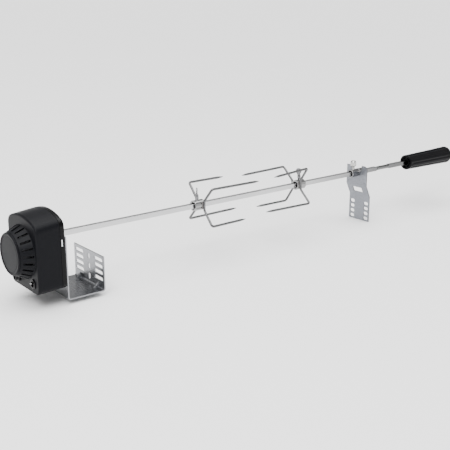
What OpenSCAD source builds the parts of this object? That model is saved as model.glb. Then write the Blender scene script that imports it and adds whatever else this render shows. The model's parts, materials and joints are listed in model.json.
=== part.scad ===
// Grill rotisserie kit: geared motor on a channel bracket, square spit with two
// four-prong forks, bushing in a cradle bracket and a turning handle.
// X runs along the spit from the motor to the handle, Z is up. The origin is the
// centre of the motor bracket's slot pattern, on the face that bolts to the grill.

/* [Spit] */
// Side of the square rod
rod_side = 8; // [7:0.5:8]
// Distance from the motor plate to the cradle bracket
span = 660; // [600:5:720]
// Length of the round journal turned on the rod near the handle
journal_l = 34; // [20:1:40]
// Gap between the cradle bracket and the journal
journal_gap = 56; // [50:1:60]
// Rod left bare between the journal and the handle
rod_bare = 55; // [45:1:60]

/* [Handle] */
// Length of the handle grip
grip_l = 131; // [110:1:140]
// Diameter of the grip at the rod end
grip_d1 = 30; // [28:1:32]
// Diameter of the grip at the far end
grip_d2 = 35; // [33:1:38]
// Number of flutes around the grip
grip_flutes = 10; // [8:1:12]

/* [Forks] */
// Distance from the motor plate to the first fork's hub
fork_1_x = 261.5; // [200:0.5:280]
// Distance from the motor plate to the second fork's hub
fork_2_x = 514; // [480:0.5:560]
// Turn of the second fork about the rod
fork_2_turn = -7; // [-10:1:10]
// Length of a fork hub
hub_l = 20; // [18:1:24]
// Diameter of a fork hub
hub_d = 18; // [17:0.5:20]
// Half the distance between neighbouring prongs
prong_half = 32; // [28:1:34]
// Length of the long prongs
prong_long = 103; // [90:1:110]
// Length of the short prongs
prong_short = 73; // [60:1:80]
// Diameter of the prong wire
wire_d = 4; // [3.5:0.5:4.5]

/* [Motor] */
// Width of the motor at its rear cover
motor_w = 93; // [91:1:95]
// Height of the rear cover's crown above the spit
motor_top = 43; // [41:1:44]
// Depth of the rear cover's floor below the spit
motor_drop = 70; // [69:0.5:71]
// Depth of the housing from the bracket plate to its face
motor_d = 46; // [45:1:48]
// Radius of the vented drum at its foot
drum_r1 = 41; // [40:0.5:42]
// Radius of the vented drum at its cap
drum_r2 = 32; // [31.5:0.5:34]
// How far the drum stands out from the housing's face
drum_l = 19; // [18:0.5:21]
// Number of cooling slots around the drum
drum_slots = 21; // [16:1:22]

/* [Motor bracket] */
// Width of the channel bracket
bracket_w = 90; // [86:1:92]
// Depth of the channel bracket
channel_d = 63; // [58:1:70]
// Height of the spit above the slot pattern's centre
spit_z = 58; // [58:0.5:60]
// Height of the spit above the channel's underside
channel_drop = 90; // [90:0.5:92]
// Height of the perforated plate
plate_b_h = 55; // [54:1:57]
// Sheet thickness of both brackets
sheet_t = 2; // [1.8:0.1:2]

/* [Cradle bracket] */
// Width of the cradle bracket
cradle_w = 52; // [50:1:56]
// Depth of the cradle bracket below the spit
cradle_drop = 97; // [96:1:100]
// Sideways step of its lower half
cradle_step = 11; // [9:0.5:12]

/* [Hidden] */
$fn = 64;
eps = 0.01;
run_gap = 0.05;          // radial gap of a running fit
steel = "#b9bcc0";
bright = "#d4d6d9";
black = "#2b2c30";
dark = "#3a3b3f";
brass = "#b79a58";
copper = "#a8613a";

// Rod
rod_start = -18;
groove_w = 3;
groove_d = 6.4;
groove_x = span + journal_gap - groove_w;
journal_x = span + journal_gap;
grip_x = journal_x + journal_l + rod_bare;
tang_d = 8;
tang_l = 96;

// Slots and notch of the brackets
slot_row = 10;           // pitch of the horizontal slots
slot_w = 6;
slot_l = 24;
slot_y = 29;
mid_slot_w = 5;
mid_slot_l = 10;
mid_slot_row = 16;
mid_slot_drop = 3.5;
plate_a_top = 8;
notch_r = 12;
stud_y = 30;
stud_z = -22;
stud_d = 5;
keyhole_d = 10;
keyhole_rise = 12;
bend_r = 2.5;
rib_y = 27;
rib_leg = 9;
rib_w = 3;

// Cradle
cradle_bend_1 = 24;
cradle_bend_2 = 47;
cradle_slot_y = 17.5;
cradle_slot_z = -76.5;
cradle_slot_l = 11;
cradle_slot_w = 6.6;
dimple_y = 21;
dimple_z = -20;
dimple_h = 0.9;
window_w = 23;
window_z1 = -29.5;
window_z2 = -39.5;
far_ear = 13;
near_ear = 15;
neck_d = 13.8;
barrel_d = 15.6;
bushing_bore = 11.7;
cheek_gap = 0.5;
bushing_front = 18;
bushing_back = 16;
bushing_screw_x = 10;

// Fork
hub_bore = 12;
wire_inset = 4;          // wire plane from the prong end of the hub
fork_screw_x = 8.5;
screw_d = 5.8;
screw_hole_d = 5.9;
screw_gap = 0.3;         // between a clamping screw and the rod's flat
elbow_r = 4;
point_l = 12;
bent_extra = 8;          // how much longer the second fork's near short prong is
bent_tuck = 4;

// Motor shell
wall = 2.5;
cover_d = 7.5;           // depth of the rear cover
cover_x = -0.5;          // rear face of the cover
shell_x = cover_x - cover_d;
crown_r = 100;
shoulder_r = 13;
foot_r = 8;
face_fall = 4;           // how far the housing's crown and floor fall toward its face
pitch = atan(face_fall / (motor_d + shell_x));
drum_z = -16;
rotor_z = -13;
vent_l = 14;             // cooling slot along the drum's axis
vent_w = 3.2;
cap_t = 2.5;
boss_d = 8;
boss_at = [[-41, -62.5], [41, -62.5], [-30, 27], [30, 27]];
side_slot = [3, 11];
tab_short = 0.95;         // how far the plate's tabs end inside the housing's side
switch_at = [-28, -58.5];
gland_at = [20, -60.2];
switch_hole = 11.8;
switch_pivot = 2;        // depth of the lever's pivot behind the housing's face
switch_lean = 20;
lever_l = 6;
switch_collar = 1.8;     // how far the switch's threaded collar stands out
collar_d = 11.6;
nut_t = 1.5;
gland_hole = 9;

// Gear train: twelve-tooth pinions drive three wheels
pinion_n = 12;
wheel_n = 54;
output_n = 60;
module_1 = 0.5;
module_2 = 0.6;
module_3 = 0.8;
pressure = 25;
backlash = 0.12;
pin_d = 3;
gear_bore = pin_d + 2 * run_gap;
rotor_at = [0, rotor_z];
second_at = module_3 * (pinion_n + output_n) / 2 * [cos(225), sin(225)];
first_at = meet(second_at, module_2 * (pinion_n + wheel_n) / 2,
                rotor_at, module_1 * (pinion_n + wheel_n) / 2);
plate_t = 1.5;
front_plate_x = -34;
rear_plate_x = -6;
plate_top = 20;
plate_bottom = -48;
plate_half = 38.5;
pillar_at = [[-34, 14], [34, 14], [-34, -43], [34, -43]];
first_wheel_x = -31;
second_wheel_x = -25;
output_wheel_x = -18.3;
wheel_t = 4;
output_t = 5;
socket_d = 14;
socket_x = -26;
stub_d = 6;
bush_wall = 2;
can_r = 27;
can_x = -58;
can_wall = 1.2;
shaft_d = 2;
magnet_r = 11;
coil_r = 15;

// ---- helpers ----

// Moves to the point x along the spit's axis, from the motor plate
module on_spit(x = 0) translate([x - channel_d, 0, spit_z]) children();

// Turns a flat drawing in Y and Z into a sheet that grows along X
module sheet_x(t) rotate([90, 0, 90]) linear_extrude(t) children();

// Cylinder along X at a point of the Y-Z plane
module rod_x(d, l, at = [0, 0]) translate([0, at[0], at[1]]) rotate([0, 90, 0]) cylinder(d = d, h = l);

// Solid of revolution about X; the drawing's x is the radius and its y runs along X
module turn_x() rotate([0, 90, 0]) rotate_extrude() children();

// Slot with round ends, centred, l long in x
module slot(l, w) {
    square([l - w, w], center = true);
    for (s = [-1, 1]) translate([s * (l - w) / 2, 0]) circle(d = w);
}

// Rectangle from radius r1 to r2 and from height z1 to z2
module square_ring(r1, r2, z1, z2) translate([r1, z1]) square([r2 - r1, z2 - z1]);

// Rectangle with round corners from p to q
module round_rect(p, q, r) {
    translate([p[0] + r, p[1]]) square([q[0] - p[0] - 2 * r, q[1] - p[1]]);
    translate([p[0], p[1] + r]) square([q[0] - p[0], q[1] - p[1] - 2 * r]);
    for (x = [p[0] + r, q[0] - r], y = [p[1] + r, q[1] - r]) translate([x, y]) circle(r);
}

// Point where two circles meet, on the lower side of the line between them
function meet(a, ra, b, rb) =
    let (d = norm(b - a), u = (b - a) / d, s = (ra * ra - rb * rb + d * d) / (2 * d))
    a + s * u + sqrt(ra * ra - s * s) * [u[1], -u[0]];

function heading(a, b) = atan2(b[1] - a[1], b[0] - a[0]);
function polar(r, a) = r * [cos(a), sin(a)];

// Half of one involute tooth: points from the root to the tip, side s
function flank(m, n, s) =
    let (r = m * n / 2, rb = r * cos(pressure), ra = r + m, rf = r - 1.25 * m,
         half = 90 / n - backlash / 4 / r * 180 / PI + tan(pressure) * 180 / PI - pressure,
         t1 = sqrt(max(0, pow(rf / rb, 2) - 1)), t2 = sqrt(pow(ra / rb, 2) - 1))
    concat(rf < rb ? [polar(rf, s * half)] : [],
           [for (k = [0:2]) let (t = t1 + (t2 - t1) * k / 2)
               polar(rb * sqrt(1 + t * t), s * (half - t * 180 / PI + atan(t)))]);

function turned(p, a) = [p[0] * cos(a) - p[1] * sin(a), p[0] * sin(a) + p[1] * cos(a)];
function reversed(v) = [for (i = [len(v) - 1:-1:0]) v[i]];

// Outline of a spur gear with a tooth centred at the angle phase
module gear_outline(m, n, phase) {
    tooth = concat(flank(m, n, -1), reversed(flank(m, n, 1)));
    polygon([for (i = [0:n - 1], p = tooth) turned(p, phase + 360 * i / n)]);
}

// Unit vector, and the vector v made square to the unit vector t
function unit(v) = v / norm(v);
function square_to(v, t) = unit(v - (v * t) * t);
function tangent(p, i) = unit(p[min(i + 1, len(p) - 1)] - p[max(i - 1, 0)]);
function frames(p, n, i = 0) = i == len(p) ? [] :
    let (m = square_to(n, tangent(p, i))) concat([m], frames(p, m, i + 1));

// Round bar swept along the points p with the radii r
module swept_bar(p, r, start, sides = 14) {
    f = frames(p, start);
    rings = [for (i = [0:len(p) - 1]) let (t = tangent(p, i), u = f[i], v = cross(t, u))
        for (k = [0:sides - 1]) p[i] + r[i] * (cos(360 * k / sides) * u + sin(360 * k / sides) * v)];
    last = (len(p) - 1) * sides;
    polyhedron(rings, concat(
        [[for (k = [0:sides - 1]) k]],
        [for (i = [0:len(p) - 2], k = [0:sides - 1]) let (a = i * sides, n = (k + 1) % sides)
            [a + k, a + sides + k, a + sides + n, a + n]],
        [[for (k = [sides - 1:-1:0]) last + k]]));
}

// Points of the bend that rounds the corner b between a and c
function bend(a, b, c, r, steps = 6) =
    let (u = unit(a - b), v = unit(c - b), half = acos(u * v) / 2,
         o = b + unit(u + v) * r / sin(half), p = b + u * r / tan(half) - o,
         q = b + v * r / tan(half) - o, w = acos(unit(p) * unit(q)))
    [for (k = [0:steps]) o + (sin(w * (1 - k / steps)) * p + sin(w * k / steps) * q) / sin(w)];

// ---- brackets ----

module motor_bracket() color(steel) difference() {
    on_spit() union() {
        // motor plate, floor and perforated plate in one folded sheet
        rotate([90, 0, 0]) linear_extrude(bracket_w, center = true) difference() {
            union() {
                round_rect([0, -channel_drop], [channel_d, -channel_drop + 20], bend_r + sheet_t);
                translate([0, -channel_drop + 10]) square([sheet_t, channel_drop - 10 + plate_a_top]);
                translate([channel_d - sheet_t, -channel_drop + 10]) square([sheet_t, plate_b_h - 10]);
            }
            round_rect([sheet_t, -channel_drop + sheet_t],
                       [channel_d - sheet_t, -channel_drop + 60], bend_r);
        }
        // pressed ribs that stiffen the bend under the perforated plate
        for (y = [-rib_y, rib_y]) translate([channel_d - sheet_t, y + rib_w / 2, -channel_drop + sheet_t])
            rotate([90, 0, 0]) linear_extrude(rib_w)
                polygon([[eps, -eps], [eps, rib_leg], [-rib_leg, -eps]]);
    }
    // notch for the spit and keyholes for the motor's studs
    on_spit(-1) sheet_x(sheet_t + 2) {
        circle(notch_r);
        translate([-notch_r, 0]) square([2 * notch_r, plate_a_top + 1]);
        for (y = [-stud_y, stud_y]) translate([y, stud_z]) {
            circle(d = stud_d + 0.4);
            translate([-stud_d / 2 - 0.2, 0]) square([stud_d + 0.4, keyhole_rise]);
            translate([0, keyhole_rise]) circle(d = keyhole_d);
        }
    }
    // grill slots: two columns of four and a middle column of three
    on_spit(channel_d - sheet_t - 1) sheet_x(sheet_t + 2) translate([0, -spit_z]) {
        for (s = [-1, 1], i = [-1.5:1.5]) translate([s * slot_y, i * slot_row]) slot(slot_l, slot_w);
        for (i = [-1:1]) translate([0, i * mid_slot_row - mid_slot_drop]) rotate(90)
            slot(mid_slot_l, mid_slot_w);
    }
}

module cradle_bracket() color(steel) difference() {
    slope = (cradle_bend_2 - cradle_bend_1) / cradle_step;
    k = sheet_t / 2 * tan(atan(1 / slope) / 2);
    h = sheet_t / 2;
    // joggled strip with two dimples pressed beside its upper bend
    on_spit(span) union() {
        rotate([90, 0, 0]) linear_extrude(cradle_w, center = true) polygon([
            [-h, near_ear], [h, near_ear], [h, -cradle_bend_1 + k],
            [cradle_step + h, -cradle_bend_2 + k], [cradle_step + h, -cradle_drop],
            [cradle_step - h, -cradle_drop], [cradle_step - h, -cradle_bend_2 - k],
            [-h, -cradle_bend_1 - k]]);
        for (y = [-dimple_y, dimple_y]) translate([-h - dimple_h, y, dimple_z])
            rotate([0, 90, 0]) cylinder(d1 = 2.4, d2 = 4.6, h = dimple_h + eps);
    }
    // cradle with a flared mouth, the lower far ear and the rounded near ear
    on_spit(span - 3) sheet_x(6) {
        circle(d = neck_d + 2 * run_gap);
        polygon([[-neck_d / 2 - run_gap, 0], [neck_d / 2 + run_gap, 0], [14.5, 8], [14.5, 20],
                 [-12, 20], [-12, 6]]);
        translate([14, far_ear]) square([20, 10]);
        translate([-cradle_w / 2, near_ear - 8]) difference() {
            translate([-1, 0]) square([9, 9]);
            translate([8, 0]) circle(8);
        }
    }
    // window in the sloping web
    on_spit(span - 2) translate([0, -window_w / 2, window_z2])
        cube([cradle_step + 4, window_w, window_z1 - window_z2]);
    // grill slots
    on_spit(span + cradle_step - 3) sheet_x(6)
        for (s = [-1, 1], i = [-1.5:1.5])
            translate([s * cradle_slot_y, cradle_slot_z + i * slot_row])
                slot(cradle_slot_l, cradle_slot_w);
}

// ---- motor ----

// Outline of the housing: arched crown, round shoulders, straight sides and rounded feet
module motor_outline(inset = 0) {
    half = motor_w / 2;
    centre_y = half - shoulder_r;
    crown_z = motor_top - crown_r;
    centre_z = crown_z + sqrt(pow(crown_r - shoulder_r, 2) - centre_y * centre_y);
    foot_y = half - foot_r;
    foot_z = foot_r - motor_drop;
    ray = [centre_y, centre_z - crown_z];
    low = 0.6 * ray;
    high = 1.5 * ray;
    intersection() {
        translate([0, crown_z]) circle(crown_r - inset, $fn = 200);
        translate([0, crown_z])
            polygon([[-low[0], low[1]], low, high, [-high[0], high[1]]]);
    }
    for (s = [-1, 1]) {
        translate([s * centre_y, centre_z]) circle(shoulder_r - inset);
        translate([s * foot_y, foot_z]) circle(foot_r - inset);
    }
    translate([inset - half, foot_z]) square([2 * (half - inset), centre_z - foot_z]);
    translate([-foot_y, inset - motor_drop]) square([2 * foot_y, foot_r + 1 - inset]);
}

// Slice of the housing's body from x1 to x2, sloping down toward the face
module motor_body(x1, x2, inset = 0) intersection() {
    translate([x1, -60, -100]) cube([x2 - x1, 120, 200]);
    translate([shell_x, 0, 0]) rotate([0, -pitch, 0])
        translate([-70, 0, 0]) sheet_x(140) motor_outline(inset);
}

module motor_housing() color(black) on_spit() difference() {
    union() {
        difference() {
            motor_body(-motor_d, shell_x);
            motor_body(-motor_d + wall, shell_x + 1, wall);
        }
        for (p = boss_at) translate([-motor_d + wall - 0.5, 0, 0])
            rod_x(boss_d, motor_d - wall + 0.5 + shell_x, p);
        translate([-motor_d, 0, drum_z]) turn_x() polygon([
            [drum_r1 - wall, eps], [drum_r1, eps], [drum_r2, -drum_l], [drum_r2 - wall, -drum_l]]);
    }
    // the drum is open into the housing
    translate([-motor_d - 0.4, 0, 0]) rod_x(2 * (drum_r1 - wall), wall + 1, [0, drum_z]);
    // cooling slots through the drum's flank
    for (i = [0:drum_slots - 1]) translate([-motor_d - 1 - vent_l / 2, 0, drum_z])
        rotate([13.5 + 360 * i / drum_slots, 0, 0]) translate([0, -60, 0])
            cube([vent_l, 70, vent_w], center = true);
    for (p = boss_at) translate([-motor_d + 12, 0, 0]) rod_x(3.2, motor_d, p);
    translate([-motor_d - 1, 0, 0]) rod_x(switch_hole, wall + 2, switch_at);
    translate([-motor_d - 1, 0, 0]) rod_x(gland_hole, wall + 2, gland_at);
}

module drum_cap() color(black) on_spit(-motor_d - drum_l) translate([0, 0, drum_z]) turn_x() {
    spigot_r = drum_r2 - wall - 0.1;
    polygon([[0, -1.8], [drum_r2 - 3.6, -1.8], [drum_r2 - 3, -cap_t], [drum_r2 - 1, -cap_t],
             [drum_r2, -1.2], [drum_r2, 0], [spigot_r, 0], [spigot_r, 5], [spigot_r - 1.9, 5],
             [spigot_r - 1.9, 0], [0, 0]]);
}

module rear_cover() color(black) on_spit() difference() {
    union() {
        difference() {
            translate([shell_x, 0, 0]) sheet_x(cover_d) motor_outline();
            translate([shell_x - 1, 0, 0]) sheet_x(cover_d + 1 - wall) motor_outline(wall);
        }
        for (p = boss_at) translate([shell_x, 0, 0]) rod_x(boss_d, cover_d, p);
        for (y = [-stud_y, stud_y]) translate([cover_x - wall - 1.2, 0, 0]) rod_x(12, 2, [y, stud_z]);
    }
    for (p = boss_at) translate([shell_x - 1, 0, 0]) rod_x(3.6, cover_d + 2, p);
    for (p = boss_at) translate([cover_x - 2.4, 0, 0]) rod_x(7, 3, p);
    for (y = [-stud_y, stud_y]) translate([-10, 0, 0]) rod_x(stud_d, 12, [y, stud_z]);
    translate([-10, 0, 0]) rod_x(socket_d + 4, 12);
    // side slots that show the gear plate's tabs
    for (s = [-1, 1]) translate([rear_plate_x + plate_t / 2, s * motor_w / 2, 0])
        cube([side_slot[0], 8, side_slot[1]], center = true);
}

module cover_screws() color(steel) on_spit() for (p = boss_at) {
    translate([cover_x - 2.2, 0, 0]) rod_x(6.6, 2, p);
    translate([-motor_d + 22, 0, 0]) rod_x(3.1, motor_d - 22 + cover_x - 2, p);
}

module hanger_studs() color(bright) on_spit() for (y = [-stud_y, stud_y]) {
    translate([cover_x - wall - 1.2, 0, 0]) rod_x(stud_d, 6.5, [y, stud_z]);
    translate([sheet_t + 0.2, 0, 0]) rod_x(9, 2.4, [y, stud_z]);
    translate([cover_x - wall - 3.2, 0, 0]) rod_x(9, 2, [y, stud_z]);
}

// Outline shared by both gear plates
module plate_outline() round_rect([-plate_half, plate_bottom], [plate_half, plate_top], 6);

// Holes that both gear plates share
module plate_holes() {
    for (p = pillar_at) translate(p) circle(d = 3);
    for (p = [first_at, second_at]) translate(p) circle(d = pin_d);
}

module front_gear_plate() color(steel) on_spit(front_plate_x) sheet_x(plate_t) difference() {
    plate_outline();
    plate_holes();
    circle(d = stub_d + 2 * bush_wall);
    translate(rotor_at) circle(d = 8);
}

module rear_gear_plate() color(bright) on_spit(rear_plate_x) sheet_x(plate_t) difference() {
    union() {
        plate_outline();
        translate([-motor_w / 2 + tab_short, -side_slot[1] / 2 + 0.5])
            square([motor_w - 2 * tab_short, side_slot[1] - 1]);
    }
    plate_holes();
    circle(d = socket_d + 2 * bush_wall);
    for (y = [-stud_y, stud_y]) translate([y, stud_z]) circle(d = 10);
}

module plate_pillars() color(steel) on_spit() for (p = pillar_at) {
    translate([front_plate_x + plate_t, 0, 0])
        rod_x(6, rear_plate_x - front_plate_x - plate_t, p);
    translate([front_plate_x - 1, 0, 0]) rod_x(3, rear_plate_x - front_plate_x + plate_t + 2, p);
}

module stator_can() color(steel) on_spit(can_x) translate([0, 0, rotor_z]) turn_x() difference() {
    translate([0, 0]) square([can_r, front_plate_x - can_x]);
    translate([0, can_wall]) square([can_r - can_wall, front_plate_x - can_x - 2 * can_wall]);
    translate([0, -1]) square([3, front_plate_x - can_x + 2]);
}

module coil_bobbin() color("#d9d2bd") on_spit(can_x + 3) translate([0, 0, rotor_z]) turn_x() {
    square_ring(coil_r - 1.2, coil_r, 0, 16);
    square_ring(coil_r - 1.2, can_r - 2.2, 0, 1.2);
    square_ring(coil_r - 1.2, can_r - 2.2, 14.8, 16);
}

module stator_coil() color(copper) on_spit(can_x + 3) translate([0, 0, rotor_z]) turn_x()
    square_ring(coil_r + 0.1, can_r - 2.6, 1.4, 14.6);

module rotor_magnet() color(dark) on_spit(can_x + 4) translate([0, 0, rotor_z]) turn_x()
    square_ring(shaft_d / 2, magnet_r, 0, 14);

module rotor_shaft() color(steel) on_spit() {
    translate([can_x + 0.2, 0, 0]) rod_x(shaft_d, first_wheel_x - 0.8 - can_x, rotor_at);
    translate([first_wheel_x - 0.6, rotor_at[0], rotor_at[1]]) sheet_x(wheel_t + 1.2)
        gear_outline(module_1, pinion_n, heading(rotor_at, first_at));
}

module rotor_bushes() color(brass) on_spit() for (x = [can_x - 0.4, front_plate_x - can_wall - 0.2])
    translate([x, 0, 0]) difference() {
        rod_x(6, can_wall + (x < -50 ? 0.8 : 1.6), rotor_at);
        translate([-1, 0, 0]) rod_x(shaft_d + 2 * run_gap, 6, rotor_at);
    }

module gear_pins() color(steel) on_spit(front_plate_x) for (p = [first_at, second_at])
    rod_x(pin_d, rear_plate_x + plate_t - front_plate_x, p);

// Wheel and pinion moulded as one, turning on a pin
module compound_gear(at, x, t, m, n, phase, pinion_m, pinion_l, pinion_phase)
    on_spit(x) translate([0, at[0], at[1]]) difference() {
        union() {
            sheet_x(t) gear_outline(m, n, phase);
            translate([t - eps, 0, 0]) sheet_x(pinion_l)
                gear_outline(pinion_m, pinion_n, pinion_phase);
        }
        translate([-1, 0, 0]) rod_x(gear_bore, t + pinion_l + 2);
    }

module first_gear() color("#e6e0d0") compound_gear(first_at, first_wheel_x, wheel_t, module_1,
    wheel_n, heading(first_at, rotor_at) + 180 / wheel_n,
    module_2, second_wheel_x + wheel_t - first_wheel_x - wheel_t + 0.6, heading(first_at, second_at));

module second_gear() color("#e6e0d0") compound_gear(second_at, second_wheel_x, wheel_t, module_2,
    wheel_n, heading(second_at, first_at) + 180 / wheel_n,
    module_3, output_wheel_x + output_t - second_wheel_x - wheel_t + 0.6,
    heading(second_at, [0, 0]));

module output_gear() color(steel) on_spit(output_wheel_x) difference() {
    sheet_x(output_t) gear_outline(module_3, output_n, heading([0, 0], second_at) + 180 / output_n);
    translate([-1, 0, 0]) rod_x(socket_d, output_t + 2);
}

module drive_socket() color(bright) on_spit() difference() {
    union() {
        translate([socket_x, 0, 0]) rod_x(socket_d, cover_x - 0.5 - socket_x);
        translate([front_plate_x + 0.3, 0, 0]) rod_x(stub_d, socket_x - front_plate_x);
    }
    translate([rod_start - 0.5, 0, 0]) translate([0, -rod_side / 2 - 0.15, -rod_side / 2 - 0.15])
        cube([30, rod_side + 0.3, rod_side + 0.3]);
}

module socket_bushes() color(brass) on_spit() {
    translate([front_plate_x + 0.3, 0, 0]) difference() {
        rod_x(stub_d + 2 * bush_wall, plate_t + 0.2);
        translate([-1, 0, 0]) rod_x(stub_d + 2 * run_gap, 6);
    }
    translate([rear_plate_x - 0.5, 0, 0]) difference() {
        rod_x(socket_d + 2 * bush_wall, plate_t + 1);
        translate([-1, 0, 0]) rod_x(socket_d + 2 * run_gap, 6);
    }
}

// ---- switch and cord inlet ----

module switch_body() color(dark) on_spit(-motor_d) difference() {
    union() {
        translate([wall + 1, switch_at[0] - 6, switch_at[1] - 6.5]) cube([16, 12, 13]);
        translate([-switch_collar, 0, 0]) rod_x(collar_d, switch_collar + wall + 1.5, switch_at);
    }
    // the lever's well
    translate([-switch_collar - 1, 0, 0]) rod_x(8.6, 9, switch_at);
}

module switch_nut() color(black) on_spit(-motor_d) difference() {
    translate([-nut_t, 0, 0]) rotate([0, 90, 0]) translate([-switch_at[1], switch_at[0], 0])
        cylinder(d = 17, h = nut_t, $fn = 6);
    translate([-4, 0, 0]) rod_x(collar_d, 6, switch_at);
}

// The lever leans up at rest and flips down
module switch_lever() color(bright) on_spit(-motor_d + switch_pivot)
    translate([0, switch_at[0], switch_at[1]]) rotate([0, switch_lean, 0]) {
        sphere(d = 4.4);
        rotate([90, 0, 0]) cylinder(d = 1.6, h = 7.6, center = true);
        rotate([0, -90, 0]) cylinder(d1 = 2.6, d2 = 3.8, h = lever_l);
        translate([-lever_l, 0, 0]) sphere(d = 3.8);
    }

module cord_gland() color(dark) on_spit(-motor_d) translate([0, gland_at[0], gland_at[1]]) turn_x()
    difference() {
        polygon([[0, -7], [4, -7], [5, -3], [6.8, -2.4], [6.8, 0], [4.45, 0], [4.45, wall],
                 [6.2, wall], [6.2, wall + 2.5], [0, wall + 2.5]]);
        translate([-1, -20]) square([3.8, 40]);
    }

// ---- spit ----

module spit_rod() color(bright) on_spit() {
    difference() {
        translate([rod_start, -rod_side / 2, -rod_side / 2])
            cube([grip_x + 6 - rod_start, rod_side, rod_side]);
        for (x = [journal_x, groove_x]) translate([x, 0, 0]) difference() {
            translate([0, -9, -9]) cube([x == groove_x ? groove_w + eps : journal_l, 18, 18]);
            translate([-1, 0, 0]) rod_x(x == groove_x ? groove_d : rod_side, journal_l + 2);
        }
    }
    translate([grip_x + 6 - eps, 0, 0]) rod_x(tang_d - 0.2, tang_l);
}

module spit_bushing() color(bright) on_spit(span) difference() {
    h = sheet_t / 2 + cheek_gap;
    turn_x() polygon([[bushing_bore / 2, -h - bushing_front], [barrel_d / 2 - 0.6, -h - bushing_front],
        [barrel_d / 2, -h - bushing_front + 0.6], [barrel_d / 2, -h], [neck_d / 2, -h],
        [neck_d / 2, h], [barrel_d / 2, h], [barrel_d / 2, h + bushing_back - 0.6],
        [barrel_d / 2 - 0.6, h + bushing_back], [bushing_bore / 2, h + bushing_back]]);
    translate([-bushing_screw_x - h, 0, 0]) cylinder(d = screw_hole_d, h = 20);
}

module bushing_screw() color(bright) on_spit(span - bushing_screw_x - sheet_t / 2 - cheek_gap) {
    translate([0, 0, rod_side / 2 + screw_gap]) cylinder(d = screw_d, h = 12);
    translate([0, 0, 14]) rotate_extrude() polygon([[0, 0], [4, 0], [5.6, 1.6], [5.6, 8], [4.4, 10.4],
        [2, 11.4], [0, 11.4]]);
}

module fork_hub() difference() {
    rotate([0, 90, 0]) cylinder(d = hub_d, h = hub_l);
    translate([-1, 0, 0]) rod_x(hub_bore, hub_l + 2);
    translate([fork_screw_x, 0, 0]) cylinder(d = screw_hole_d, h = 20);
}

// One bent wire: a long prong above, a bow past the hub and a short prong below, whose tip
// is tucked in towards the spit
module fork_wire(short = prong_short, tuck = 0) {
    x = hub_l - wire_inset;
    side = -hub_d / 2 - wire_d / 2 + 0.15;
    tip_1 = [x + prong_long, -prong_half * 0.95, prong_half * 0.95];
    top = [x, -prong_half, prong_half];
    bow_1 = [x, side, hub_d / 2 - 1];
    bow_2 = [x, side, -hub_d / 2 + 1];
    low = [x, -prong_half, -prong_half];
    tip_2 = [x + short, -prong_half * 0.98, -prong_half * 0.98 + tuck];
    cone_1 = tip_1 + unit(top - tip_1) * point_l;
    cone_2 = tip_2 + unit(low - tip_2) * point_l;
    path = concat([tip_1, cone_1], bend(cone_1, top, bow_1, elbow_r), bend(top, bow_1, bow_2, 6),
                  bend(bow_1, bow_2, low, 6), bend(bow_2, low, cone_2, elbow_r), [cone_2, tip_2]);
    r = wire_d / 2;
    radii = [for (i = [0:len(path) - 1]) i == 0 || i == len(path) - 1 ? 0.4 : r];
    swept_bar(path, radii, [0, 1, 1]);
}

// Clamping screw with a flat thumb wing; a is the wing's heading, turn the fork's about the rod
module fork_screw(a, turn = 0) translate([fork_screw_x, 0, 0]) {
    foot = rod_side / 2 / cos(turn) + screw_d / 2 * tan(abs(turn)) + screw_gap;
    translate([0, 0, foot]) cylinder(d = screw_d, h = 12 - foot);
    translate([0, 0, hub_d / 2 + 1.5]) cylinder(d = 6.4, h = 8.5);
    rotate(a) translate([0, 1.4, 0]) rotate([90, 0, 0]) linear_extrude(2.8) {
        translate([0, 24.5]) circle(5.4);
        polygon([[-3, 17], [3, 17], [5, 22.5], [-5, 22.5]]);
    }
}

module fork_1() on_spit(fork_1_x) children();
module fork_2() on_spit(fork_2_x) rotate([fork_2_turn, 0, 0]) rotate([0, 0, 180]) children();

module fork_1_hub() color(steel) fork_1() fork_hub();
module fork_1_near_prongs() color(steel) fork_1() fork_wire();
module fork_1_far_prongs() color(steel) fork_1() rotate([180, 0, 0]) fork_wire();
module fork_1_screw() color(steel) fork_1() fork_screw(53);
module fork_2_hub() color(steel) fork_2() fork_hub();
module fork_2_near_prongs() color(steel) fork_2()
    rotate([180, 0, 0]) fork_wire(prong_short + bent_extra, bent_tuck);
module fork_2_far_prongs() color(steel) fork_2() fork_wire();
module fork_2_screw() color(steel) fork_2() fork_screw(134, fork_2_turn);

// ---- handle ----

module handle_ferrule() color(dark) on_spit(grip_x + 4) difference() {
    rod_x(18, 5);
    translate([-1, -rod_side / 2 - 0.1, -rod_side / 2 - 0.1])
        cube([20, rod_side + 0.2, rod_side + 0.2]);
}

module handle_grip() color(black) on_spit(grip_x) difference() {
    turn_x() polygon([[0, 1.5], [grip_d1 / 2 - 1.5, 0], [grip_d1 / 2, 1.5],
        [grip_d2 / 2, grip_l - 5], [grip_d2 / 2 - 1.4, grip_l - 1.4], [grip_d2 / 2 - 5, grip_l],
        [0, grip_l]]);
    // flutes along the grip
    for (i = [0:grip_flutes - 1]) rotate([360 * (i + 0.5) / grip_flutes, 0, 0])
        translate([-1, 0, grip_d1 / 2 + 1.7]) rotate([0, 90 - atan((grip_d2 - grip_d1) / 2 / grip_l), 0])
            cylinder(d = 6, h = grip_l + 4);
    // recess around the rod, seat of the ferrule and bore for the tang
    translate([-1, 0, 0]) rod_x(22, 5);
    translate([3.9, 0, 0]) rod_x(18, 5.1);
    rod_x(tang_d, tang_l + 8);
    translate([grip_l - 12, 0, 0]) rod_x(10, 13);
}

module handle_cap() color(black) on_spit(grip_x + grip_l) turn_x() polygon([[0, -11], [4.9, -11],
    [4.9, 0], [8, 0], [8, 9], [7.4, 12], [5.5, 14.2], [3, 15.4], [0, 15.8]]);

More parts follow.
